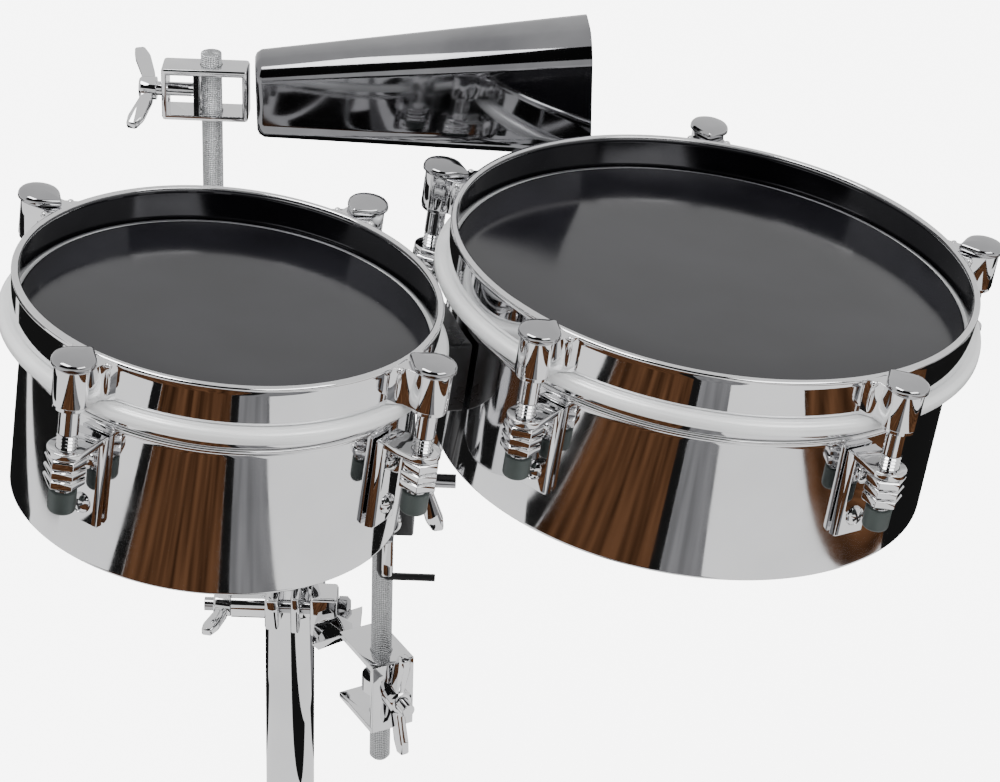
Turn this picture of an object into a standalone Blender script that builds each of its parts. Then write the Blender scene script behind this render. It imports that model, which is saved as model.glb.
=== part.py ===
"""A pair of small steel timbales on a stand post, with a cowbell. Lengths are in millimetres."""

import math

import bmesh
import bpy
from mathutils import Matrix, Vector

MM = 0.001
GAP = 0.3

# Driving dimensions
SMALL_RADIUS = 76.2
LARGE_RADIUS = 101.6
LEAN = math.radians(6.48)
SMALL_TOP = Vector((-12.1, -124.8, 329.8))
LARGE_TOP = Vector((175.3, -54.0, 315.7))
SHELL_BOTTOM = -91.8
SHELL_WALL = 1.5
HEAD_LEVEL = -14.5
RIM_HEIGHT = 15.8
HOOP_BOTTOM = -22.3
BOLT_OFFSET = 16.5
BOLT_RADIUS = 3.9
EAR_TOP = -34.0
NUT_TOP = -37.3
NUT_HEIGHT = 12.2
SMALL_LUGS = (4, -31.0)
LARGE_LUGS = (5, 17.0)

POST_RADIUS = 11.1
POST_HEIGHT = 150.0
CLAMP_BOLT = Vector((0.0, -20.0, 116.0))
ROD = Vector((44.0, -60.0, 0.0))
ROD_RADIUS = 4.5
ROD_BOTTOM = 66.0
ROD_TOP = 212.0
HOLDER_TURN = math.radians(30.0)
HOLDER_LOW = 88.0
HOLDER_HIGH = 122.0
PIVOT = Vector((47.0, -68.0, 200.0))
SCREW_RADIUS = 3.0
SCREW_WAY = 3.3
NUT_HUB = 5.5
NUT_DEPTH = 8.0
BELL_ROD = Vector((-37.0, 52.0, 0.0))
BELL_ROD_TOP = 348.0
BELL_ARM_LEVEL = 200.0
BELL_BACK = Vector((-18.2, 54.0, 329.0))
BELL_MOUTH = Vector((124.0, 66.0, 333.0))
BELL_CLAMP_LEVEL = 330.6
ARM_FACE = 17.0
KEY = Vector((43.6, -72.2, 167.0))

for old in list(bpy.data.objects):
    bpy.data.objects.remove(old, do_unlink=True)


def material(name, colour, roughness, metallic):
    made = bpy.data.materials.new(name)
    made.use_nodes = True
    shader = made.node_tree.nodes["Principled BSDF"]
    shader.inputs["Base Color"].default_value = (*colour, 1.0)
    shader.inputs["Roughness"].default_value = roughness
    shader.inputs["Metallic"].default_value = metallic
    return made


CHROME = ((0.75, 0.75, 0.76), 0.08, 1.0)
SATIN = ((0.85, 0.86, 0.86), 0.3, 1.0)
STEEL = ((0.55, 0.56, 0.57), 0.35, 1.0)
FILM = ((0.07, 0.07, 0.08), 0.35, 0.0)
BLACK = ((0.02, 0.02, 0.02), 0.4, 0.6)


def make(name, mesh_data, finish, parent=None, place=None):
    """One node from a bmesh in millimetres, placed under its parent."""
    bmesh.ops.recalc_face_normals(mesh_data, faces=mesh_data.faces)
    bmesh.ops.scale(mesh_data, vec=(MM, MM, MM), verts=mesh_data.verts)
    mesh = bpy.data.meshes.new(name)
    mesh_data.to_mesh(mesh)
    mesh_data.free()
    mesh.shade_smooth()
    mesh.set_sharp_from_angle(angle=math.radians(35))
    thing = bpy.data.objects.new(name, mesh)
    bpy.context.collection.objects.link(thing)
    if finish:
        mesh.materials.append(material(name, *finish))
    else:
        thing.hide_render = True
        thing.display_type = "WIRE"
    thing.parent = parent
    if place is not None:
        thing.matrix_local = scaled(place)
    return thing


def scaled(place):
    """A placing matrix in millimetres as one in metres."""
    result = place.copy()
    result.translation = result.translation * MM
    return result


def empty(name, place):
    thing = bpy.data.objects.new(name, None)
    bpy.context.collection.objects.link(thing)
    thing.matrix_local = scaled(place)
    return thing


def boolean(thing, other, operation):
    step = thing.modifiers.new(f"{operation}_{other.name}", "BOOLEAN")
    step.operation = operation
    step.solver = "EXACT"
    step.object = other
    return thing


def turned(profile, segments):
    """A closed profile of (radius, height) points spun about Z; radius 0 points close on the axis."""
    body = bmesh.new()
    rings = []
    for radius, height in profile:
        if radius == 0:
            rings.append([body.verts.new((0, 0, height))])
        else:
            angles = [2 * math.pi * i / segments for i in range(segments)]
            points = [(radius * math.cos(a), radius * math.sin(a), height) for a in angles]
            rings.append([body.verts.new(point) for point in points])
    for first, second in zip(rings, rings[1:] + rings[:1]):
        if len(first) == 1 and len(second) == 1:
            continue
        for i in range(segments):
            j = (i + 1) % segments
            corners = [first[i % len(first)], first[j % len(first)]]
            corners += [second[j % len(second)], second[i % len(second)]]
            body.faces.new(list(dict.fromkeys(corners)))
    return body


def cylinder(radius, low, high, segments=24):
    return turned([(0, low), (radius, low), (radius, high), (0, high)], segments)


def tube(inner, outer, low, high, segments=32):
    return turned([(inner, low), (outer, low), (outer, high), (inner, high)], segments)


def extruded(outline, low, high):
    """An outline of (x, y) points raised from low to high."""
    body = bmesh.new()
    face = body.faces.new([body.verts.new((x, y, low)) for x, y in outline])
    grown = bmesh.ops.extrude_face_region(body, geom=[face])["geom"]
    raised = [v for v in grown if isinstance(v, bmesh.types.BMVert)]
    bmesh.ops.translate(body, vec=(0, 0, high - low), verts=raised)
    return body


def box(low, high, bevel=0.0):
    outline = [(low[0], low[1]), (high[0], low[1]), (high[0], high[1]), (low[0], high[1])]
    body = extruded(outline, low[2], high[2])
    if bevel:
        bmesh.ops.bevel(body, geom=body.edges[:], offset=bevel, segments=2, affect="EDGES", profile=0.5)
    return body


def lofted(rings):
    """Rings of points joined in order, with a cap on the first and the last."""
    body = bmesh.new()
    loops = [[body.verts.new(point) for point in ring] for ring in rings]
    for first, second in zip(loops, loops[1:]):
        for i in range(len(first)):
            j = (i + 1) % len(first)
            body.faces.new((first[i], first[j], second[j], second[i]))
    body.faces.new(loops[0])
    body.faces.new(loops[-1])
    return body


def joined(name, shapes, cuts, finish, parent=None, place=None):
    """The union of the first list of shapes, less the second."""
    result = make(name, shapes[0], finish, parent, place)
    for i, shape in enumerate(shapes[1:]):
        boolean(result, make(f"{name}_add_{i}", shape, None, result), "UNION")
    for i, shape in enumerate(cuts):
        boolean(result, make(f"{name}_cut_{i}", shape, None, result), "DIFFERENCE")
    return result


def moved(body, matrix):
    bmesh.ops.transform(body, matrix=matrix, verts=body.verts)
    return body


def at(x, y, z):
    return Matrix.Translation((x, y, z))


def along(direction, origin):
    """A frame with +Z along a direction."""
    turn = Vector((0, 0, 1)).rotation_difference(Vector(direction)).to_matrix().to_4x4()
    return Matrix.Translation(origin) @ turn


ALONG_X = Matrix.Rotation(math.pi / 2, 4, "Y")

# Drums


def rim(prefix, radius, lugs, frame):
    lip = [(radius + 4 + 1.5 * math.cos(a), -1.5 + 1.5 * math.sin(a)) for a in (2.6, 1.6, 0.6, -0.3)]
    wall = [(radius + 5.15, -3.5), (radius + 5.15, -RIM_HEIGHT)]
    wall += [(radius + 3.6, -RIM_HEIGHT), (radius + 3.6, -3.0)]
    centre = radius + BOLT_OFFSET
    ring = make(f"{prefix}_rim", turned(lip + wall, 48), CHROME, frame)
    for index, angle in enumerate(lugs):
        turn = Matrix.Rotation(angle, 4, "Z")
        curve = [math.radians(a) for a in range(-95, 96, 19)]
        strap = [(radius + 4.1, -9.5), (radius + 7.5, -7.6)]
        strap += [(centre + 6.8 * math.cos(a), 6.8 * math.sin(a)) for a in curve]
        strap += [(radius + 7.5, 7.6), (radius + 4.1, 9.5)]
        ear = moved(extruded(strap, -15.3, -0.8), turn)
        bore = moved(cylinder(BOLT_RADIUS + GAP, -20, 2, 14), turn @ at(centre, 0, 0))
        boolean(ring, make(f"{prefix}_ear_{index}", ear, None, ring), "UNION")
        boolean(ring, make(f"{prefix}_bore_{index}", bore, None, ring), "DIFFERENCE")
    return ring


def shell(prefix, radius, frame):
    outer = [(radius, -15.1), (radius, -29), (radius + 1.2, -30.5), (radius, -32), (radius, SHELL_BOTTOM)]
    foot = [(radius - 4, SHELL_BOTTOM), (radius - 4, SHELL_BOTTOM + 1.5)]
    inner = [(radius - SHELL_WALL, SHELL_BOTTOM + 1.5), (radius - SHELL_WALL, -15.1)]
    make(f"{prefix}_shell", turned(outer + foot + inner, 48), CHROME, frame)


def head(prefix, radius, frame):
    top = [(0, HEAD_LEVEL), (radius + 1.6, HEAD_LEVEL), (radius + 2.4, -RIM_HEIGHT)]
    under = [(radius + 2.1, -RIM_HEIGHT), (radius + 1.4, HEAD_LEVEL - 0.3), (0, HEAD_LEVEL - 0.3)]
    make(f"{prefix}_head", turned(top + under, 40), FILM, frame)


def flesh_hoop(prefix, radius, frame):
    top = -RIM_HEIGHT - GAP
    outer = [(radius + 1.2, top), (radius + 8.3, top), (radius + 9.3, top - 1.2), (radius + 9.5, top - 3)]
    under = [(radius + 9.0, HOOP_BOTTOM + 0.8), (radius + 7.8, HOOP_BOTTOM), (radius + 1.2, HOOP_BOTTOM)]
    make(f"{prefix}_flesh_hoop", turned(outer + under, 48), SATIN, frame)


def lug(prefix, index, radius, angle, frame):
    """One lug on its spoke: the bracket, the tension bolt and the tuning nut."""
    centre = radius + BOLT_OFFSET
    spoke = Matrix.Rotation(angle, 4, "Z")
    plate = box((radius + 0.5, -7, -72), (radius + 5, 7, -34.2))
    curve = [math.radians(a) for a in range(-90, 91, 30)]
    tongue = [(radius + 1.2, -6.4)]
    tongue += [(centre + 7.2 * math.cos(a), 7.2 * math.sin(a)) for a in curve]
    tongue += [(radius + 1.2, 6.4)]
    ear = extruded(tongue, EAR_TOP - 3, EAR_TOP)
    bore = moved(cylinder(BOLT_RADIUS + GAP, -45, -30, 12), at(centre, 0, 0))
    joined(f"{prefix}_lug_{index}", [plate, ear], [bore], CHROME, frame, spoke)
    around = [math.radians(a) for a in range(45, 316, 27)]
    drop = [(-12.0, 0.0)] + [(-8.25 * math.cos(a), 8.25 * math.sin(a)) for a in around]
    cap = extruded(drop, -0.3, 2.6)
    crown = [v for v in cap.verts if v.co.z > 1]
    top_face = [f for f in cap.faces if all(v in crown for v in f.verts)]
    bmesh.ops.inset_region(cap, faces=top_face, thickness=2.4)
    raised = {v for v in cap.verts if v.co.z > 1 and v not in crown}
    bmesh.ops.translate(cap, vec=(0, 0, 1.3), verts=list(raised))
    shank = turned([(0, 0.5), (BOLT_RADIUS, 0.5), (BOLT_RADIUS, -51), (BOLT_RADIUS - 1, -52), (0, -52)], 12)
    joined(f"{prefix}_tension_bolt_{index}", [cap, shank], [], CHROME, frame, spoke @ at(centre, 0, 0))
    hexagon = 6.75 / math.cos(math.pi / 6)
    low = -NUT_HEIGHT
    inner = (BOLT_RADIUS + GAP) / math.cos(math.pi / 6)
    groove = hexagon - 1.3
    sides = [(inner, 0), (hexagon - 0.8, 0), (hexagon, -0.8)]
    sides += [(hexagon, -3.3), (groove, -4.1), (hexagon, -4.9)]
    sides += [(hexagon, -7.3), (groove, -8.1), (hexagon, -8.9)]
    sides += [(hexagon, low + 0.8), (hexagon - 0.8, low), (inner, low)]
    make(f"{prefix}_tuning_nut_{index}", turned(sides, 6), CHROME, frame, spoke @ at(centre, 0, NUT_TOP))


def drum(prefix, radius, top, lug_row):
    frame = empty(f"{prefix}_frame", Matrix.Translation(top) @ Matrix.Rotation(LEAN, 4, "Y"))
    count, start = lug_row
    angles = [math.radians(start + 360 * i / count) for i in range(count)]
    shell(prefix, radius, frame)
    head(prefix, radius, frame)
    flesh_hoop(prefix, radius, frame)
    rim(prefix, radius, angles, frame)
    for index, angle in enumerate(angles):
        lug(prefix, index + 1, radius, angle, frame)


drum("small", SMALL_RADIUS, SMALL_TOP, SMALL_LUGS)
drum("large", LARGE_RADIUS, LARGE_TOP, LARGE_LUGS)

# Centre bracket and tilt joint


def centre_bracket():
    lean = Matrix.Rotation(LEAN, 4, "Y")
    across = LARGE_TOP - SMALL_TOP
    turn = math.atan2(across.y, across.x)
    middle = SMALL_TOP + across.normalized() * (SMALL_RADIUS + 11.4)
    gap_frame = Matrix.Translation(middle) @ lean @ Matrix.Rotation(turn, 4, "Z")
    block = moved(box((-11.4, -10, -60), (11.4, 27, -30), 1.0), gap_frame)
    tongue = box((38, -76, 189), (57, -68.4, 268), 1.0)
    cuts = []
    for top, radius in ((SMALL_TOP, SMALL_RADIUS), (LARGE_TOP, LARGE_RADIUS)):
        cuts.append(moved(cylinder(radius + 1.2 + GAP, -110, 10, 96), Matrix.Translation(top) @ lean))
    cuts.append(moved(cylinder(SCREW_WAY, -20, 10, 20), along((0, 1, 0), PIVOT)))
    joined("drum_bracket", [block, tongue], cuts, BLACK)


def tilt_block():
    body = box((36, -68, 184), (57, -50, 216), 1.0)
    stud = moved(cylinder(SCREW_RADIUS, -2, 27, 20), along((0, -1, 0), PIVOT))
    arm = BELL_ROD - ROD
    arm.z = 0
    socket_frame = along(arm.normalized(), (ROD.x, ROD.y, BELL_ARM_LEVEL))
    socket = moved(cylinder(8.0, 8, 30, 28), socket_frame)
    screw = moved(cylinder(SCREW_RADIUS, 12, 30, 20), at(ROD.x, ROD.y, 207) @ ALONG_X)
    rod_bore = moved(cylinder(ROD_RADIUS + 0.1, 150, ROD_TOP + 0.5, 28), at(ROD.x, ROD.y, 0))
    arm_bore = moved(cylinder(ROD_RADIUS + 0.1, 12, 40, 28), socket_frame)
    joined("tilt_block", [body, stud, socket, screw], [rod_bore, arm_bore], CHROME)


def wing_nut(name, frame, hub, height, span, bore, finish=CHROME, stem=None):
    """A wing nut with its hub along the frame's +Z and its wings along its X."""
    barrel = turned([(0, 0), (hub, 0), (hub, height - 1), (hub - 1, height), (0, height)], 24)
    shapes = [barrel]
    for side in (1, -1):
        low = [(0, 1.0), (hub + 2, 1.2), (span * 0.8, height * 0.55), (span, height * 0.95)]
        high = [(span * 0.97, height * 1.5), (span * 0.75, height * 1.45)]
        high += [(hub + 1, height - 0.6), (0, height - 0.8)]
        outline = [(side * x, z) for x, z in low + high]
        blade = extruded(outline, -2.1, 2.1)
        bmesh.ops.bevel(blade, geom=blade.edges[:], offset=0.7, segments=1, affect="EDGES")
        shapes.append(moved(blade, Matrix.Rotation(math.pi / 2, 4, "X")))
    cuts = []
    if stem:
        shapes.append(cylinder(bore, -stem, 2, 20))
    else:
        cuts.append(cylinder(bore, -5, height + 5, 20))
    joined(name, shapes, cuts, finish, None, frame)


centre_bracket()
tilt_block()
DOWN_WINGS = Matrix.Rotation(math.pi / 2, 4, "Z")
TILT_NUT = along((0, -1, 0), PIVOT + Vector((0, -8.6, 0))) @ DOWN_WINGS
wing_nut("tilt_wing_nut", TILT_NUT, NUT_HUB, NUT_DEPTH, 24, SCREW_WAY)
wing_nut("rod_lock_wing_nut", at(57.4, ROD.y, 207) @ ALONG_X, NUT_HUB, NUT_DEPTH, 24, SCREW_WAY)

# Support rod, its holder and its eye bolt


def support_rod():
    shape = [(0, ROD_BOTTOM), (ROD_RADIUS - 1.2, ROD_BOTTOM), (ROD_RADIUS, ROD_BOTTOM + 1.5)]
    shape += [(ROD_RADIUS, ROD_TOP), (0, ROD_TOP)]
    make("support_rod", turned(shape, 28), STEEL, None, at(ROD.x, ROD.y, 0))


HOLDER = at(ROD.x, ROD.y, 0) @ Matrix.Rotation(HOLDER_TURN, 4, "Z")
EYE_LEVEL = 106.0


def rod_holder():
    web = moved(box((-9.8, -11.6, HOLDER_LOW + 0.3), (9.8, -9, HOLDER_HIGH - 0.3)), HOLDER)
    low = moved(box((-10, -11, HOLDER_LOW), (10, 20, HOLDER_LOW + 2.5)), HOLDER)
    high = moved(box((-10, -11, HOLDER_HIGH - 2.5), (10, 20, HOLDER_HIGH)), HOLDER)
    strap_outline = [(13.0, 113.0), (16.0, 110.2), (34.0, 118.9), (34.0, 121.8)]
    strap = moved(extruded(strap_outline, 26.4, 45.0), Matrix.Rotation(math.pi / 2, 4, "X"))
    eye = box((11.0, -29.0, 106.0), (23.0, -14.5, 126.0), 1.5)
    bore = moved(cylinder(ROD_RADIUS + GAP, 60, 140, 28), at(ROD.x, ROD.y, 0))
    bolt_way = moved(cylinder(SCREW_WAY, 5, 30, 20), at(0, CLAMP_BOLT.y, CLAMP_BOLT.z) @ ALONG_X)
    shank_way = moved(cylinder(SCREW_WAY, 5, 16, 20), HOLDER @ along((0, -1, 0), (0, 0, EYE_LEVEL)))
    joined("rod_holder", [web, low, high, strap, eye], [bore, bolt_way, shank_way], CHROME)


def eye_bolt():
    ring = tube(ROD_RADIUS + GAP, 8.2, -3.5, 3.5, 28)
    shank = moved(cylinder(SCREW_RADIUS, 7.2, 26, 20), along((0, -1, 0), (0, 0, 0)))
    joined("rod_eye_bolt", [ring, shank], [], CHROME, None, HOLDER @ at(0, 0, EYE_LEVEL))


support_rod()
rod_holder()
eye_bolt()
NUT_FACE = HOLDER @ at(0, -11.8, EYE_LEVEL) @ along((0, -1, 0), (0, 0, 0))
wing_nut("rod_wing_nut", NUT_FACE @ DOWN_WINGS, NUT_HUB, NUT_DEPTH, 25, SCREW_WAY)

# Post and post clamp


def post():
    make("stand_post", tube(9.2, POST_RADIUS, 0, POST_HEIGHT, 40), CHROME)


def jaw(side):
    """Half a split clamp: side 1 is the right jaw, -1 the left one with its long sleeve."""
    turn = [math.radians(a) for a in range(-80, 81, 16)]
    outer = [(side * (16.0 * math.cos(a)), 16.0 * math.sin(a)) for a in turn]
    bore = POST_RADIUS + GAP
    inner = [(side * (bore * math.cos(a)), bore * math.sin(a)) for a in reversed(turn)]
    band = extruded(outer + inner, 106, 126)
    if side > 0:
        lug_shape = box((2.6, -28, 107), (6.2, -12.6, 125), 0.8)
        shapes = [band, lug_shape]
    else:
        lug_shape = box((-9.0, -28, 108), (-2.8, -12.6, 124), 1.5)
        sleeve = moved(cylinder(5.5, -24, -5, 24), at(0, CLAMP_BOLT.y, CLAMP_BOLT.z) @ ALONG_X)
        shapes = [band, lug_shape, sleeve]
    way = moved(cylinder(SCREW_WAY, -30, 20, 20), at(0, CLAMP_BOLT.y, CLAMP_BOLT.z) @ ALONG_X)
    joined("clamp_jaw_right" if side > 0 else "clamp_jaw_left", shapes, [way], CHROME)


def clamp_bolt():
    shape = [(0, -36), (3.0, -36), (3.0, 23.3), (5.6, 23.3), (5.6, 27), (4.0, 28.5), (0, 28.5)]
    place = at(0, CLAMP_BOLT.y, CLAMP_BOLT.z) @ ALONG_X
    make("clamp_bolt", turned(shape, 24), STEEL, None, place)


post()
jaw(1)
jaw(-1)
clamp_bolt()
CLAMP_NUT = along((-1, 0, 0), (-24.4, CLAMP_BOLT.y, CLAMP_BOLT.z)) @ Matrix.Rotation(math.radians(80), 4, "Z")
wing_nut("clamp_wing_nut", CLAMP_NUT, 5.2, 7.5, 19, 3.3)

# Cowbell on its bent rod


def rod_path():
    """The bent rod's centre line: up the post side, one round bend, then level towards the tilt block."""
    level = ROD - BELL_ROD
    level.z = 0
    reach = level.length
    ahead = level.normalized()
    bend = 14.0
    corner = Vector((BELL_ROD.x, BELL_ROD.y, BELL_ARM_LEVEL))
    centre = corner + ahead * bend + Vector((0, 0, bend))
    points = [corner + ahead * (reach - 13.0)]
    for i in range(7):
        a = math.pi / 2 * i / 6
        points.append(centre - ahead * (bend * math.sin(a)) - Vector((0, 0, bend * math.cos(a))))
    points.append(Vector((BELL_ROD.x, BELL_ROD.y, BELL_ROD_TOP)))
    return points, ahead


def cowbell_rod():
    points, ahead = rod_path()
    sideways = ahead.cross(Vector((0, 0, 1)))
    rings = []
    for i, point in enumerate(points):
        before = points[max(i - 1, 0)]
        after = points[min(i + 1, len(points) - 1)]
        if i in (0, 1):
            tangent = -ahead
        elif i >= len(points) - 2:
            tangent = Vector((0, 0, 1))
        else:
            tangent = (after - before).normalized()
        normal = tangent.cross(sideways)
        spokes = [2 * math.pi * k / 14 for k in range(14)]
        rings.append([point + ROD_RADIUS * (math.cos(a) * sideways + math.sin(a) * normal) for a in spokes])
    make("cowbell_rod", lofted(rings), STEEL)


def rounded_ring(place, width, height, corner):
    """A rounded rectangle across the bell, in the YZ plane of its frame."""
    points = []
    for quarter in range(4):
        middle = (width / 2 - corner, height / 2 - corner)
        sign = ((1, 1), (-1, 1), (-1, -1), (1, -1))[quarter]
        for step in range(6):
            a = math.pi / 2 * (quarter + step / 5)
            x = sign[0] * middle[0] + corner * math.cos(a)
            y = sign[1] * middle[1] + corner * math.sin(a)
            points.append(place @ Vector((x, y, 0)))
    return points


def cowbell():
    axis = BELL_MOUTH - BELL_BACK
    length = axis.length
    ahead = axis.normalized()
    side = Vector((0, 0, 1)).cross(ahead).normalized()
    up = ahead.cross(side)
    frame = Matrix.Translation(BELL_BACK) @ Matrix((side, up, ahead)).transposed().to_4x4()
    wall = 1.6

    def section(distance, shrink):
        t = distance / length
        width = 25 + 14 * t - 2 * shrink
        height = 36 + 23 * t - 2 * shrink
        return rounded_ring(frame @ at(0, 0, distance), width, height, 9 + 4 * t - shrink)

    outside = [section(0, 3.0), section(0.8, 1.2), section(3, 0)]
    outside += [section(length * k / 4, 0) for k in (1, 2, 3, 4)]
    inside = [section(length, wall), section(length * 0.5, wall), section(3.5, wall), section(wall, 3.4)]
    make("cowbell", lofted(outside + inside), CHROME)


def cowbell_clamp():
    x, y, z = BELL_ROD.x, BELL_ROD.y, BELL_CLAMP_LEVEL
    frame = box((x - 21, y - 7, z - 12), (x + 16, y + 7, z + 12), 1.5)
    right_window = box((x - 4.8, y - 20, z - 9), (x + 13.6, y + 20, z + 9))
    left_window = box((x - 18.6, y - 20, z - 9), (x - 7.2, y + 20, z + 9))
    rod_way = moved(cylinder(ROD_RADIUS + GAP, -30, 30, 28), at(x, y, z))
    screw_way = moved(cylinder(SCREW_WAY, -30, -3, 20), at(x, y, z) @ ALONG_X)
    joined("cowbell_clamp", [frame], [right_window, left_window, rod_way, screw_way], CHROME)
    screw = along((-1, 0, 0), (x - 23.5, y, z)) @ Matrix.Rotation(math.radians(60), 4, "Z")
    wing_nut("cowbell_wing_bolt", screw, 5.0, 7.5, 21, 3.0, CHROME, 18.6)


def hex_key():
    """An L-shaped key whose short arm stands in a socket under the bracket."""
    rings = []
    for direction, point in (
        ((0, 0, -1), KEY + Vector((0, 0, 21.5))),
        ((0, 0, -1), KEY + Vector((0, 0, 3))),
        ((0.7, 0, -0.7), KEY + Vector((0.9, 0, 0.9))),
        ((1, 0, 0), KEY + Vector((3, 0, 0))),
        ((1, 0, 0), KEY + Vector((23, 0, 0))),
    ):
        ahead = Vector(direction).normalized()
        up = Vector((0, 1, 0)).cross(ahead)
        spokes = [math.pi / 3 * k for k in range(6)]
        rings.append([point + 1.7 * (math.cos(a) * Vector((0, 1, 0)) + math.sin(a) * up) for a in spokes])
    make("hex_key", lofted(rings), BLACK)


cowbell_rod()
cowbell()
cowbell_clamp()
hex_key()

# Joints


def hang(thing, carrier):
    """Parents a thing to an unturned empty and leaves it where it stands."""
    thing.parent = carrier
    thing.matrix_parent_inverse = carrier.matrix_basis.inverted()


def pivot(name, point, carrier, members):
    """An empty on a joint's axis, which its members turn or slide with."""
    joint = empty(name, at(*point))
    if carrier:
        hang(joint, carrier)
    for member in members:
        hang(bpy.data.objects[member], joint)
    return joint


JAWS = ("clamp_jaw_left", "clamp_jaw_right", "clamp_bolt", "clamp_wing_nut")
clamp_slide = pivot("clamp_slide", (0, 0, CLAMP_BOLT.z), None, JAWS)
HOLDER_PIECES = ("rod_holder", "rod_eye_bolt", "rod_wing_nut")
arm_pivot = pivot("arm_pivot", (ARM_FACE, CLAMP_BOLT.y, CLAMP_BOLT.z), clamp_slide, HOLDER_PIECES)
rod_slide = pivot("rod_slide", (ROD.x, ROD.y, 0), arm_pivot, ("support_rod",))
BLOCK_PIECES = ("tilt_block", "rod_lock_wing_nut", "tilt_wing_nut")
mount_pivot = pivot("mount_pivot", (ROD.x, ROD.y, PIVOT.z), rod_slide, BLOCK_PIECES)
tilt_pivot = pivot("tilt_pivot", PIVOT, mount_pivot, ("drum_bracket", "small_frame", "large_frame"))
pivot("key_pivot", KEY, tilt_pivot, ("hex_key",))
bell_rod_pivot = pivot("bell_rod_pivot", (ROD.x, ROD.y, BELL_ARM_LEVEL), mount_pivot, ("cowbell_rod",))
BELL_PIECES = ("cowbell", "cowbell_clamp", "cowbell_wing_bolt")
BELL_CENTRE = (BELL_ROD.x, BELL_ROD.y, BELL_CLAMP_LEVEL)
pivot("bell_pivot", BELL_CENTRE, bell_rod_pivot, BELL_PIECES)
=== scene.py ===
import math

import bmesh
import bpy
from mathutils import Matrix, Vector

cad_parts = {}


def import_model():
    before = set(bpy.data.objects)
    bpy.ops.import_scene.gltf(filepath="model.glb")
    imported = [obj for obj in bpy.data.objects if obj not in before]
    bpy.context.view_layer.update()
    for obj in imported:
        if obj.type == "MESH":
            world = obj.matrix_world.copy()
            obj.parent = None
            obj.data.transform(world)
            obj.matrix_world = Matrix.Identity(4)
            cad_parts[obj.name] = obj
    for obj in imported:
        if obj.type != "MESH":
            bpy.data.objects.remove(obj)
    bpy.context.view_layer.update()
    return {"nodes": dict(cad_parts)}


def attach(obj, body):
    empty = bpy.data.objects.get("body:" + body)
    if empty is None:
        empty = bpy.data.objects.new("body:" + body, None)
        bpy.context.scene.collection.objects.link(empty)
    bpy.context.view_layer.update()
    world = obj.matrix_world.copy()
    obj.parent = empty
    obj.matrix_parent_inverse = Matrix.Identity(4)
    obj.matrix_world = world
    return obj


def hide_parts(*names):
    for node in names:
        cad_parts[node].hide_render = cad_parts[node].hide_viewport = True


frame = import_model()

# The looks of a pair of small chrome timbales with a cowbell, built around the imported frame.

MM = 0.001
LEAN = math.radians(6.48)
CAMERA_PLACE = Vector((0.0909, -1.132, 0.8423))
CAMERA_DOWN = math.radians(28.9)
CAMERA_ROLL = math.radians(2.07)
LENS = 108.0
FLOOR_GLOW = 6.0

DRUMS = {
    "small": {"radius": 76.2, "top": Vector((-12.1, -124.8, 329.8)), "lugs": 4, "start": -31.0},
    "large": {"radius": 101.6, "top": Vector((175.3, -54.0, 315.7)), "lugs": 5, "start": 17.0},
}
SHELL_TOP = -15.1
SHELL_BOTTOM = -91.8
SHELL_WALL = 1.5
BEAD_LEVEL = -29.8
RIM_HEIGHT = 15.8
RIM_INSIDE = 3.6
RIM_OUTSIDE = 5.15
HEAD_LEVEL = -14.5
HOOP_TOP = -16.1
HOOP_BOTTOM = -22.3
BOLT_OFFSET = 16.5
BOLT_RADIUS = 3.9
BOLT_BOTTOM = -52
BOLT_WAY = 4.2
THREAD_TOP = -28
THREAD_PITCH = 1.41
THREAD_TURNS = 17
THREAD_ROOT = 3.3
CAP_RADIUS = 8.25
CAP_RINGS = (
    (0.94, -0.3),
    (1.0, 0.2),
    (1.0, 1.3),
    (0.97, 2.1),
    (0.9, 2.8),
    (0.77, 3.3),
    (0.55, 3.7),
    (0.25, 3.88),
)
TIP_TOP = -51.8
TIP_BOTTOM = -61.0
EAR_RADIUS = 7.0
PLATE_RINGS = ((7.0, -72.0, -34.4, 0.5), (6.8, -71.8, -34.6, 3.6), (5.8, -70.8, -35.4, 4.9))
PLATE_FACE = 4.9
TONGUE_RADIUS = 7.2
SCREW_LEVELS = (-44.0, -63.0)
SHARP_ANGLE = math.radians(38)
MERGE_DISTANCE = 0.000001
SUPPORT_ROD = Vector((0.044, -0.060, 0.0))
BELL_ROD = Vector((-0.037, 0.052, 0.0))
KNURL_ROUND = 18.0
KNURL_UP = 3400.0
KNURL_GRAIN = 300.0
CLOUD_SCALE = 22.0
SMUDGE_SCALE = 60.0
FLOOR_SIZE = 30.0
WHITE = (1.0, 1.0, 1.0, 1.0)
LIGHT_AIM = Vector((0.05, -0.05, 0.25))


# Node helpers


def new_material(name):
    made = bpy.data.materials.new(name)
    made.use_nodes = True
    return made, made.node_tree, made.node_tree.nodes["Principled BSDF"]


def noise(tree, scale, detail=4.0, stretch=(1, 1, 1)):
    place = tree.nodes.new("ShaderNodeTexCoord")
    mapping = tree.nodes.new("ShaderNodeMapping")
    mapping.inputs["Scale"].default_value = stretch
    texture = tree.nodes.new("ShaderNodeTexNoise")
    texture.inputs["Scale"].default_value = scale
    texture.inputs["Detail"].default_value = detail
    tree.links.new(place.outputs["Object"], mapping.inputs["Vector"])
    tree.links.new(mapping.outputs["Vector"], texture.inputs["Vector"])
    return texture.outputs["Fac"]


def spread(tree, value, low, high):
    """Maps a 0 to 1 value to a range."""
    node = tree.nodes.new("ShaderNodeMapRange")
    node.inputs["From Min"].default_value = 0.3
    node.inputs["From Max"].default_value = 0.7
    node.inputs["To Min"].default_value = low
    node.inputs["To Max"].default_value = high
    tree.links.new(value, node.inputs["Value"])
    return node.outputs["Result"]


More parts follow.
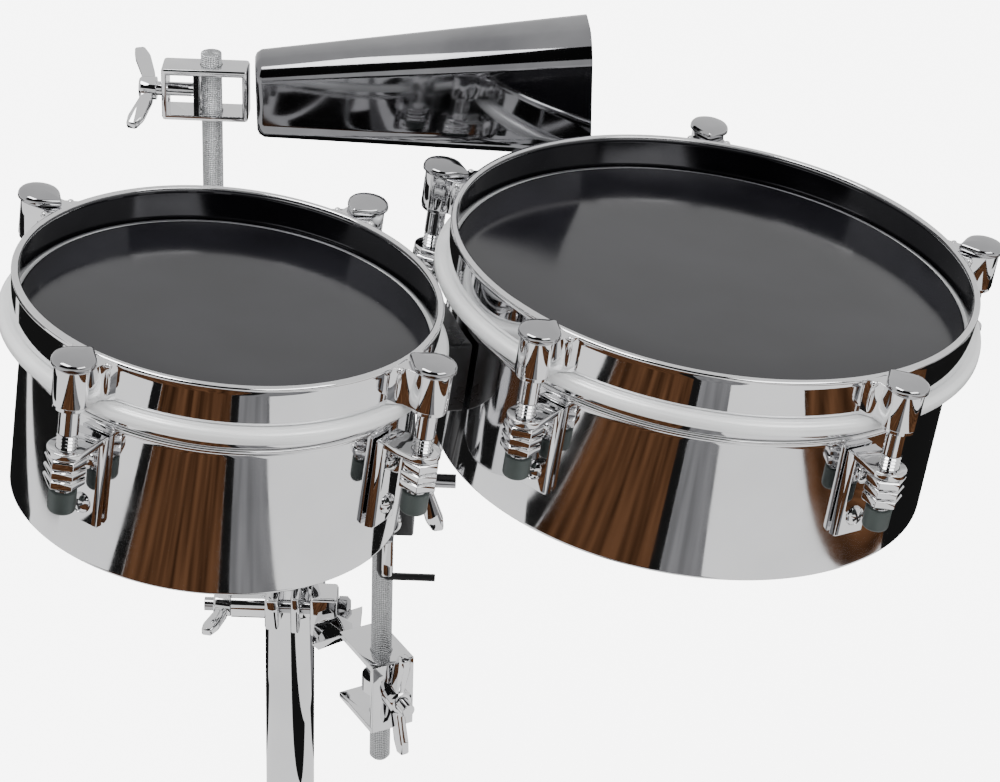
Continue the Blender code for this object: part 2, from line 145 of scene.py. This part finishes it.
def tint(tree, value, dark, light):
    ramp = tree.nodes.new("ShaderNodeValToRGB")
    ramp.color_ramp.elements[0].color = (*dark, 1)
    ramp.color_ramp.elements[0].position = 0.35
    ramp.color_ramp.elements[1].color = (*light, 1)
    ramp.color_ramp.elements[1].position = 0.65
    tree.links.new(value, ramp.inputs["Fac"])
    return ramp.outputs["Color"]


def bump(tree, shader, value, strength, depth):
    node = tree.nodes.new("ShaderNodeBump")
    node.inputs["Strength"].default_value = strength
    node.inputs["Distance"].default_value = depth
    tree.links.new(value, node.inputs["Height"])
    tree.links.new(node.outputs["Normal"], shader.inputs["Normal"])


def finish_surface(name, dark, light, rough, metal, grain, depth):
    """A finish with mottled colour, uneven roughness and a fine grain."""
    made, tree, shader = new_material(name)
    shader.inputs["Metallic"].default_value = metal
    cloud = noise(tree, CLOUD_SCALE, 5.0)
    tree.links.new(tint(tree, cloud, dark, light), shader.inputs["Base Color"])
    tree.links.new(spread(tree, noise(tree, SMUDGE_SCALE), *rough), shader.inputs["Roughness"])
    bump(tree, shader, noise(tree, grain, 3.0), 0.12, depth)
    return made


def math_node(tree, operation, first, second=None):
    node = tree.nodes.new("ShaderNodeMath")
    node.operation = operation
    for socket, value in zip(node.inputs, (first, second)):
        if value is None:
            continue
        if isinstance(value, (int, float)):
            socket.default_value = value
        else:
            tree.links.new(value, socket)
    return node.outputs[0]


def knurled(name, axis):
    """Plated steel with a diamond knurl round a vertical axis; its colour is painted darker in the grooves
    and lighter on the ridges, as painted shade and painted highlight.
    """
    made, tree, shader = new_material(name)
    shader.inputs["Metallic"].default_value = 1.0
    place = tree.nodes.new("ShaderNodeTexCoord")
    split = tree.nodes.new("ShaderNodeSeparateXYZ")
    tree.links.new(place.outputs["Object"], split.inputs[0])
    x = math_node(tree, "SUBTRACT", split.outputs[0], axis.x)
    y = math_node(tree, "SUBTRACT", split.outputs[1], axis.y)
    around = math_node(tree, "MULTIPLY", math_node(tree, "ARCTAN2", y, x), KNURL_ROUND)
    up = math_node(tree, "MULTIPLY", split.outputs[2], KNURL_UP)
    one = math_node(tree, "SINE", math_node(tree, "ADD", around, up))
    two = math_node(tree, "SINE", math_node(tree, "SUBTRACT", around, up))
    diamond = math_node(tree, "MULTIPLY", one, two)
    lifted = math_node(tree, "ADD", math_node(tree, "MULTIPLY", diamond, 0.5), 0.5)
    # Painted shade in the grooves and painted highlight on the ridges: the colour follows the knurl's
    # height.
    colour = tint(tree, lifted, (0.36, 0.37, 0.38), (0.80, 0.81, 0.82))
    tree.links.new(colour, shader.inputs["Base Color"])
    tree.links.new(spread(tree, noise(tree, KNURL_GRAIN), 0.22, 0.34), shader.inputs["Roughness"])
    bump(tree, shader, lifted, 0.8, 0.0005)
    return made


CHROME = finish_surface(
    "chrome", (0.73, 0.73, 0.74), (0.80, 0.80, 0.81), (0.02, 0.06), 1.0, 180.0, 0.00002
)
SHELL = finish_surface(
    "shell_chrome", (0.74, 0.74, 0.75), (0.80, 0.80, 0.81), (0.04, 0.08), 1.0, 90.0, 0.00003
)
HOOP = finish_surface(
    "hoop_satin", (0.88, 0.89, 0.89), (0.95, 0.96, 0.96), (0.30, 0.42), 0.30, 900.0, 0.00005
)
# The cowbell's chrome is darkened as a whole: painted shade that stands in for the dark drum and floor its
# sides reflect.
SHADED_BELL_CHROME = finish_surface(
    "bell_chrome_painted_shade", (0.17, 0.17, 0.18), (0.26, 0.26, 0.27), (0.04, 0.09), 1.0, 150.0, 0.00004
)
# The rim's inner wall gets a darker copy of the chrome: painted shade that stands in for the dark head the
# wall reflects.
INNER_SHADE_CHROME = finish_surface(
    "inner_chrome_painted_shade", (0.10, 0.10, 0.11), (0.17, 0.17, 0.18), (0.06, 0.12), 1.0, 150.0, 0.00004
)
DARK_CHROME = finish_surface(
    "dark_chrome", (0.34, 0.34, 0.35), (0.46, 0.46, 0.47), (0.05, 0.10), 1.0, 200.0, 0.00003
)
OXIDE = finish_surface(
    "black_oxide", (0.010, 0.010, 0.011), (0.024, 0.024, 0.026), (0.30, 0.46), 0.3, 900.0, 0.0001
)
# Black steel for the drum bracket; the same black also paints the screws' cross slots as shade.
BLACK_AND_SLOT_SHADE = finish_surface(
    "black_steel", (0.012, 0.012, 0.013), (0.03, 0.03, 0.032), (0.25, 0.42), 0.2, 700.0, 0.0001
)
RUBBER = finish_surface(
    "rubber", (0.030, 0.040, 0.038), (0.060, 0.075, 0.070), (0.42, 0.60), 0.0, 1200.0, 0.0001
)
FILM = finish_surface(
    "head_film", (0.007, 0.007, 0.009), (0.012, 0.012, 0.015), (0.11, 0.16), 0.0, 260.0, 0.000004
)
ROD_STEEL = knurled("support_rod_knurl", SUPPORT_ROD)
BELL_STEEL = knurled("bell_rod_knurl", BELL_ROD)


# Mesh helpers, in millimetres


def linked(name, data):
    thing = bpy.data.objects.new(name, data)
    bpy.context.collection.objects.link(thing)
    return thing


def placed_mesh(name, body_mesh, place):
    """A mesh in metres, in its place, from a bmesh in millimetres."""
    bmesh.ops.recalc_face_normals(body_mesh, faces=body_mesh.faces)
    bmesh.ops.transform(body_mesh, matrix=Matrix.Scale(MM, 4) @ place, verts=body_mesh.verts)
    mesh = bpy.data.meshes.new(name)
    body_mesh.to_mesh(mesh)
    body_mesh.free()
    return mesh


def shown(name, body_mesh, finish, body, place, sharp=40):
    """A piece of the object that rides on a body; sharp is the edge angle in degrees."""
    mesh = placed_mesh(name, body_mesh, place)
    mesh.shade_smooth()
    mesh.set_sharp_from_angle(angle=math.radians(sharp))
    thing = linked(name, mesh)
    mesh.materials.append(finish)
    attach(thing, body)
    return thing


def turned(profile, segments=144):
    """A closed profile of (radius, height) points spun about Z."""
    made = bmesh.new()
    rings = []
    for radius, height in profile:
        if radius == 0:
            rings.append([made.verts.new((0, 0, height))])
            continue
        angles = [2 * math.pi * i / segments for i in range(segments)]
        points = [(radius * math.cos(a), radius * math.sin(a), height) for a in angles]
        rings.append([made.verts.new(point) for point in points])
    for first, second in zip(rings, rings[1:] + rings[:1]):
        if len(first) == 1 and len(second) == 1:
            continue
        for i in range(segments):
            j = (i + 1) % segments
            corners = [first[i % len(first)], first[j % len(first)]]
            corners += [second[j % len(second)], second[i % len(second)]]
            made.faces.new(list(dict.fromkeys(corners)))
    return made


def arc(centre, radius, start, end, steps):
    """Points of an arc in the turning plane, angles in degrees."""
    points = []
    for i in range(steps + 1):
        a = math.radians(start + (end - start) * i / steps)
        points.append((centre[0] + radius * math.cos(a), centre[1] + radius * math.sin(a)))
    return points


def extruded(outline, low, high, bevel=0.0):
    """An outline raised from low to high, with its top and bottom edges softened if asked."""
    made = bmesh.new()
    face = made.faces.new([made.verts.new((x, y, low)) for x, y in outline])
    grown = bmesh.ops.extrude_face_region(made, geom=[face])["geom"]
    raised = [v for v in grown if isinstance(v, bmesh.types.BMVert)]
    bmesh.ops.translate(made, vec=(0, 0, high - low), verts=raised)
    if bevel:
        flat = [e for e in made.edges if abs(e.verts[0].co.z - e.verts[1].co.z) < 0.001]
        bmesh.ops.bevel(made, geom=flat, offset=bevel, segments=3, affect="EDGES", profile=0.5)
    return made


def bore(thing, cutter_mesh, place):
    """Cuts a hole through a piece."""
    cutter = linked("cutter", placed_mesh("cutter", cutter_mesh, place))
    step = thing.modifiers.new("bore", "BOOLEAN")
    step.operation = "DIFFERENCE"
    step.solver = "EXACT"
    step.object = cutter
    graph = bpy.context.evaluated_depsgraph_get()
    cut = bpy.data.meshes.new_from_object(thing.evaluated_get(graph))
    thing.modifiers.clear()
    thing.data = cut
    bpy.data.objects.remove(cutter)


def shift(x, y, z):
    return Matrix.Translation((x, y, z))


def joined_rings(made, rings):
    """Faces between rings of points, and over the first and last ring."""
    loops = [[made.verts.new(point) for point in ring] for ring in rings]
    for first, second in zip(loops, loops[1:]):
        for i in range(len(first)):
            j = (i + 1) % len(first)
            made.faces.new((first[i], first[j], second[j], second[i]))
    made.faces.new(loops[0])
    made.faces.new(loops[-1])


def polish(node, finish, body, bevel=0.0003):
    """A smooth copy of a CAD node with softened edges, shown in its place."""
    mesh = frame["nodes"][node].data.copy()
    mesh.name = f"{node}_skin"
    made = bmesh.new()
    made.from_mesh(mesh)
    bmesh.ops.remove_doubles(made, verts=made.verts, dist=MERGE_DISTANCE)
    made.to_mesh(mesh)
    made.free()
    mesh.materials.clear()
    mesh.materials.append(finish)
    mesh.shade_smooth()
    mesh.set_sharp_from_angle(angle=SHARP_ANGLE)
    thing = linked(f"{node}_skin", mesh)
    edge = thing.modifiers.new("soft_edges", "BEVEL")
    edge.width = bevel
    edge.segments = 2
    edge.limit_method = "ANGLE"
    edge.angle_limit = SHARP_ANGLE
    edge.harden_normals = True
    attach(thing, body)
    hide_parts(node)


# Drums


def paint_inner_shade(ring, place, limit):
    """Gives a ring's inner wall a darker chrome: painted shade, the dark reflection of the head painted into
    the wall's colour.
    """
    ring.data.materials.append(INNER_SHADE_CHROME)
    back = place.inverted()
    for face in ring.data.polygons:
        centre = back @ (face.center / MM)
        if math.hypot(centre.x, centre.y) < limit and centre.z < -2.6:
            face.material_index = 1


def rim_profile(radius):
    outside = radius + RIM_OUTSIDE
    inside = radius + RIM_INSIDE
    profile = arc((radius + 4, -1.5), 1.5, 150, -20, 12)
    profile += [(outside, -3.0), (outside, -3.5), (outside, -RIM_HEIGHT + 0.9)]
    profile += [(outside, -RIM_HEIGHT + 0.4), (radius + 4.9, -RIM_HEIGHT)]
    profile += [(radius + 3.8, -RIM_HEIGHT), (inside, -RIM_HEIGHT + 0.4), (inside, -RIM_HEIGHT + 0.9)]
    profile += [(inside, -3.5), (inside, -3.0), (radius + 3.0, -2.2)]
    return profile


def shell_profile(radius):
    profile = [(radius - 0.2, SHELL_TOP), (radius, -15.4), (radius, -16.0), (radius, -27.2), (radius, -27.8)]
    profile += arc((radius - 0.3, BEAD_LEVEL), 1.5, 80, -80, 8)
    profile += [(radius, -31.8), (radius, -32.5), (radius, SHELL_BOTTOM + 1.3)]
    profile += [(radius, SHELL_BOTTOM + 0.6), (radius - 0.6, SHELL_BOTTOM)]
    profile += [(radius - 4, SHELL_BOTTOM), (radius - 4, SHELL_BOTTOM + SHELL_WALL)]
    profile += [(radius - SHELL_WALL, SHELL_BOTTOM + SHELL_WALL), (radius - SHELL_WALL, SHELL_TOP)]
    return profile


def head_profile(radius):
    profile = [(0, HEAD_LEVEL), (radius * 0.6, HEAD_LEVEL), (radius + 0.6, HEAD_LEVEL)]
    profile += [(radius + 1.5, -14.7), (radius + 2.2, -15.6), (radius + 2.0, -15.8)]
    profile += [(radius + 1.3, -15.0), (radius + 0.6, -14.8), (0, -14.8)]
    return profile


def hoop_profile(radius):
    profile = [(radius + 1.2, HOOP_TOP), (radius + 7.2, HOOP_TOP)]
    profile += arc((radius + 6.9, -18.7), 2.6, 88, 0, 8)
    profile += arc((radius + 6.9, -19.7), 2.6, 0, -88, 8)
    profile += [(radius + 1.2, HOOP_BOTTOM)]
    return profile


def drum(prefix, facts):
    radius = facts["radius"]
    place = Matrix.Translation(facts["top"]) @ Matrix.Rotation(LEAN, 4, "Y")
    rim_body = f"{prefix}_rim_body"
    rim = shown(f"{prefix}_rim_skin", turned(rim_profile(radius)), CHROME, rim_body, place, 60)
    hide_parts(f"{prefix}_rim")
    paint_inner_shade(rim, place, radius + 3.8)
    shell = shown(f"{prefix}_shell_skin", turned(shell_profile(radius)), SHELL, "drums", place, 50)
    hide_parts(f"{prefix}_shell")
    head = shown(f"{prefix}_head_skin", turned(head_profile(radius), 128), FILM, "drums", place, 60)
    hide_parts(f"{prefix}_head")
    hoop = shown(f"{prefix}_hoop_skin", turned(hoop_profile(radius)), HOOP, "drums", place, 60)
    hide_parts(f"{prefix}_flesh_hoop")
    for index in range(facts["lugs"]):
        angle = math.radians(facts["start"] + 360 * index / facts["lugs"])
        spoke = place @ Matrix.Rotation(angle, 4, "Z")
        lug(prefix, index + 1, radius, spoke, rim_body)


def ball(radius):
    made = bmesh.new()
    bmesh.ops.create_uvsphere(made, u_segments=16, v_segments=12, radius=radius)
    return made


def rim_ear(name, radius, spoke, rim_body):
    """The ear on the rim that a tension bolt hangs in, with its welds."""
    centre = radius + BOLT_OFFSET
    curve = [math.radians(a) for a in range(-110, 111, 8)]
    strap = [(radius + 4.4, -10.5), (radius + 6.4, -8.6), (radius + 9.0, -6.6)]
    strap += [(centre + EAR_RADIUS * math.cos(a), EAR_RADIUS * math.sin(a)) for a in curve]
    strap += [(radius + 9.0, 6.6), (radius + 6.4, 8.6), (radius + 4.4, 10.5)]
    shown(f"ear_{name}", extruded(strap, -15.7, -0.6, 0.35), CHROME, rim_body, spoke)
    barrel = turned([(4.4, -15.7), (6.6, -15.7), (6.6, -17.0), (6.2, -17.4), (4.4, -17.4)], 48)
    shown(f"barrel_foot_{name}", barrel, CHROME, rim_body, spoke @ shift(centre, 0, 0))
    for side in (-1, 1):
        bead = ball(1.3)
        bmesh.ops.scale(bead, vec=(0.8, 0.9, 4.6), verts=bead.verts)
        bead_place = spoke @ shift(radius + 7.0, side * 8.2, -8.0)
        shown(f"weld_{name}_{side + 1}", bead, CHROME, rim_body, bead_place)
        drop_place = spoke @ shift(radius + 7.0, side * 8.0, -1.6)
        shown(f"weld_drop_{name}_{side + 1}", ball(1.5), CHROME, rim_body, drop_place)


def tension_bolt(name, node, axis, rim_body):
    """The drop-shaped head, the plain shank, the thread and the rubber tip, about the bolt's axis."""
    around = [math.radians(a) for a in range(40, 321, 10)]
    outline = [(-10.8, 0.6), (-11.2, 0.0), (-10.8, -0.6)]
    outline += [(-CAP_RADIUS * math.cos(a), -CAP_RADIUS * math.sin(a)) for a in around]
    cap = bmesh.new()
    joined_rings(cap, [[(x * share, y * share, height) for x, y in outline] for share, height in CAP_RINGS])
    bolt = shown(f"bolt_head_{name}", cap, DARK_CHROME, rim_body, axis, 50)
    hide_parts(node)
    shank = turned([(0, 0), (BOLT_RADIUS, 0), (BOLT_RADIUS, THREAD_TOP), (0, THREAD_TOP)], 40)
    shown(f"bolt_shank_{name}", shank, CHROME, rim_body, axis)
    thread = [(0, THREAD_TOP)]
    for turn in range(THREAD_TURNS):
        low = THREAD_TOP - turn * THREAD_PITCH
        thread += [(BOLT_RADIUS, low - 0.2), (THREAD_ROOT, low - 0.9)]
    thread += [(BOLT_RADIUS, BOLT_BOTTOM), (0, BOLT_BOTTOM)]
    shown(f"bolt_thread_{name}", turned(thread, 32), CHROME, rim_body, axis, 20)
    tip = [(0, TIP_BOTTOM), (3.2, TIP_BOTTOM)] + arc((3.7, -59.5), 1.5, -90, 0, 5)
    tip += [(5.2, -52.1), (4.8, TIP_TOP), (0, TIP_TOP)]
    shown(f"rubber_tip_{name}", turned(tip, 40), RUBBER, rim_body, axis)


def lug(prefix, index, radius, spoke, rim_body):
    """All that stands on one spoke of a drum."""
    name = f"{prefix}_{index}"
    axis = spoke @ shift(radius + BOLT_OFFSET, 0, 0)
    rim_ear(name, radius, spoke, rim_body)
    tension_bolt(name, f"{prefix}_tension_bolt_{index}", axis, rim_body)
    polish(f"{prefix}_tuning_nut_{index}", CHROME, f"{prefix}_nut_{index}", 0.0002)
    lug_plate(name, f"{prefix}_lug_{index}", radius, spoke, axis)


def lug_plate(name, node, radius, spoke, axis):
    """The pressed bracket: a raised plate with bevelled sides, a thin ear and two cross-head screws."""
    plate = bmesh.new()
    rings = []
    for half, low, high, out in PLATE_RINGS:
        corners = ((-half, low), (half, low), (half, high), (-half, high))
        rings.append([(radius + out, y, z) for y, z in corners])
    joined_rings(plate, rings)
    bmesh.ops.bevel(plate, geom=plate.edges[:], offset=0.4, segments=2, affect="EDGES", profile=0.5)
    face = shown(f"lug_plate_{name}", plate, CHROME, "drums", spoke)
    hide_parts(node)
    centre = radius + BOLT_OFFSET
    curve = [math.radians(a) for a in range(-90, 91, 10)]
    tongue = [(radius + 1.0, -6.4)]
    tongue += [(centre + TONGUE_RADIUS * math.cos(a), TONGUE_RADIUS * math.sin(a)) for a in curve]
    tongue += [(radius + 1.0, 6.4)]
    ear = shown(f"lug_ear_{name}", extruded(tongue, -36.9, -34.0, 0.6), CHROME, "drums", spoke)
    bore(ear, turned([(0, -45), (BOLT_WAY, -45), (BOLT_WAY, -30), (0, -30)], 32), axis)
    for level in SCREW_LEVELS:
        cross_head_screw(f"{name}_{int(-level)}", spoke @ shift(radius + PLATE_FACE, 0, level))


def cross_head_screw(name, place):
    """A domed screw head that faces outwards, with its cross drawn as black bars: painted shade where the
    recess is.
    """
    seat = place @ Matrix.Rotation(math.pi / 2, 4, "Y")
    dome = [(0, 0), (4.1, 0), (4.0, 0.7)] + arc((0, -3.2), 5.2, 44, 80, 6) + [(0, 2.05)]
    shown(f"screw_{name}", turned(dome, 32), CHROME, "drums", seat)
    # The cross is two black bars on the dome, painted shade that stands in for the dark cross recess.
    for angle in (25, 115):
        bar = extruded([(-2.1, -0.4), (2.1, -0.4), (2.1, 0.4), (-2.1, 0.4)], 1.6, 2.09)
        cross = seat @ Matrix.Rotation(math.radians(angle), 4, "Z")
        shown(f"screw_slot_shade_{name}_{angle}", bar, BLACK_AND_SLOT_SHADE, "drums", cross)


for drum_name, drum_facts in DRUMS.items():
    drum(drum_name, drum_facts)

# Hardware

SKINS = {
    "drum_bracket": (BLACK_AND_SLOT_SHADE, "drums"),
    "tilt_block": (DARK_CHROME, "mount"),
    "tilt_wing_nut": (CHROME, "tilt_nut"),
    "rod_lock_wing_nut": (CHROME, "rod_lock_nut"),
    "support_rod": (ROD_STEEL, "rod"),
    "rod_holder": (CHROME, "arm"),
    "rod_eye_bolt": (CHROME, "arm"),
    "rod_wing_nut": (CHROME, "rod_nut"),
    "stand_post": (CHROME, "post"),
    "clamp_jaw_left": (CHROME, "post_clamp"),
    "clamp_jaw_right": (CHROME, "post_clamp"),
    "clamp_bolt": (DARK_CHROME, "post_clamp"),
    "clamp_wing_nut": (CHROME, "clamp_nut"),
    "cowbell_rod": (BELL_STEEL, "bell_rod"),
    "cowbell_clamp": (CHROME, "bell"),
    "cowbell_wing_bolt": (CHROME, "bell_nut"),
    # The cowbell takes the darkened chrome, which is painted shade.
    "cowbell": (SHADED_BELL_CHROME, "bell"),
    "hex_key": (OXIDE, "key"),
}
for node_name, (surface, rider) in SKINS.items():
    polish(node_name, surface, rider)

# Stage


def glowing(name, colour, glow, streaks=0.0):
    """A card's paint, with streaks along its length if asked."""
    made, tree, shader = new_material(name)
    shader.inputs["Base Color"].default_value = (0.0, 0.0, 0.0, 1.0)
    shader.inputs["Roughness"].default_value = 1.0
    shader.inputs["Specular IOR Level"].default_value = 0.0
    shader.inputs["Emission Strength"].default_value = glow
    if streaks:
        grain = noise(tree, 9.0, 6.0, (4.0, 0.5, 1.0))
        dark = tuple(channel * (1.0 - streaks) for channel in colour)
        tree.links.new(tint(tree, grain, dark, colour), shader.inputs["Emission Color"])
    else:
        shader.inputs["Emission Color"].default_value = (*colour, 1.0)
    return made


def card(name, corners, paint):
    """A card that is seen in the chrome, and nowhere else."""
    mesh = bpy.data.meshes.new(name)
    mesh.from_pydata(corners, [], [(0, 1, 2, 3)])
    mesh.materials.append(paint)
    thing = linked(name, mesh)
    thing.visible_camera = False
    thing.visible_shadow = False
    thing.visible_diffuse = False


def lying_card(name, x, y, level, paint):
    card(name, [(x[0], y[0], level), (x[1], y[0], level), (x[1], y[1], level), (x[0], y[1], level)], paint)


def standing_card(name, x, z, y, paint):
    card(name, [(x[0], y, z[0]), (x[1], y, z[0]), (x[1], y, z[1]), (x[0], y, z[1])], paint)


def stage():
    bpy.ops.mesh.primitive_plane_add(size=FLOOR_SIZE, location=(0, 0, -0.001))
    floor = bpy.context.object
    floor.name = "floor"
    made, _, shader = new_material("floor_paint")
    shader.inputs["Base Color"].default_value = (0.95, 0.95, 0.95, 1.0)
    shader.inputs["Roughness"].default_value = 0.95
    shader.inputs["Emission Color"].default_value = WHITE
    shader.inputs["Emission Strength"].default_value = FLOOR_GLOW
    floor.data.materials.append(made)
    floor.visible_glossy = False
    floor.visible_diffuse = False
    white = glowing("white_paint", (1.0, 1.0, 1.0), 1.25)
    grey = glowing("grey_paint", (0.30, 0.30, 0.31), 1.0, 0.4)
    black = glowing("black_paint", (0.012, 0.012, 0.012), 1.0)
    brown = glowing("brown_paint", (0.17, 0.078, 0.038), 1.0, 0.75)
    lying_card("white_under", (-6, 6), (-6, 6), -0.010, white)
    lying_card("brown_left", (-0.36, 0.06), (-2.2, -0.30), -0.005, brown)
    lying_card("brown_right", (0.52, 0.72), (-1.6, 0.05), -0.005, brown)
    lying_card("edge_left", (0.06, 0.10), (-2.2, -0.30), -0.004, black)
    lying_card("edge_far_left", (-0.42, -0.36), (-2.2, -0.28), -0.004, black)
    lying_card("edge_right", (0.72, 0.76), (-1.6, 0.05), -0.004, black)
    lying_card("grey_middle", (0.10, 0.24), (-2.2, -0.30), -0.005, grey)
    lying_card("black_left", (-1.20, -0.62), (-0.20, 0.9), -0.004, black)
    lying_card("black_right", (0.86, 1.45), (-0.10, 0.9), -0.004, black)
    lying_card("black_behind_left", (-0.55, -0.10), (0.05, 0.8), -0.003, black)
    lying_card("black_behind_post", (-0.10, 0.08), (0.03, 0.5), -0.003, black)
    lying_card("black_behind_right", (0.26, 0.72), (0.02, 0.8), -0.003, black)
    lying_card("black_by_post", (0.022, 0.075), (-0.26, -0.02), -0.003, black)
    lying_card("grey_behind", (0.08, 0.17), (0.05, 1.6), -0.003, grey)
    standing_card("dark_wall", (-5.0, 5.0), (0.9, 5.0), -2.6, black)


def light(name, place, size, power):
    data = bpy.data.lights.new(name, "AREA")
    data.shape = "RECTANGLE"
    data.size = size
    data.size_y = size * 0.6
    data.energy = power
    thing = linked(name, data)
    thing.location = place
    thing.rotation_euler = (LIGHT_AIM - Vector(place)).to_track_quat("-Z", "Y").to_euler()


def camera():
    data = bpy.data.cameras.new("view")
    data.lens = LENS
    data.sensor_width = 36.0
    thing = linked("view", data)
    turn = Matrix.Rotation(math.pi / 2 - CAMERA_DOWN, 4, "X") @ Matrix.Rotation(CAMERA_ROLL, 4, "Z")
    thing.matrix_world = Matrix.Translation(CAMERA_PLACE) @ turn
    bpy.context.scene.camera = thing


def world():
    """Soft white all round; the backdrop itself is as pale as the floor."""
    made = bpy.data.worlds.new("studio")
    made.use_nodes = True
    tree = made.node_tree
    around = tree.nodes["Background"]
    around.inputs["Color"].default_value = WHITE
    around.inputs["Strength"].default_value = 1.0
    backdrop = tree.nodes.new("ShaderNodeBackground")
    backdrop.inputs["Color"].default_value = WHITE
    backdrop.inputs["Strength"].default_value = FLOOR_GLOW + 1.5
    path = tree.nodes.new("ShaderNodeLightPath")
    mix = tree.nodes.new("ShaderNodeMixShader")
    tree.links.new(path.outputs["Is Camera Ray"], mix.inputs["Fac"])
    tree.links.new(around.outputs["Background"], mix.inputs[1])
    tree.links.new(backdrop.outputs["Background"], mix.inputs[2])
    tree.links.new(mix.outputs["Shader"], tree.nodes["World Output"].inputs["Surface"])
    bpy.context.scene.world = made


stage()
light("soft_key", (-0.5, -0.5, 1.6), 0.9, 14)
light("soft_fill", (0.9, -0.9, 1.2), 0.9, 8)
camera()
world()
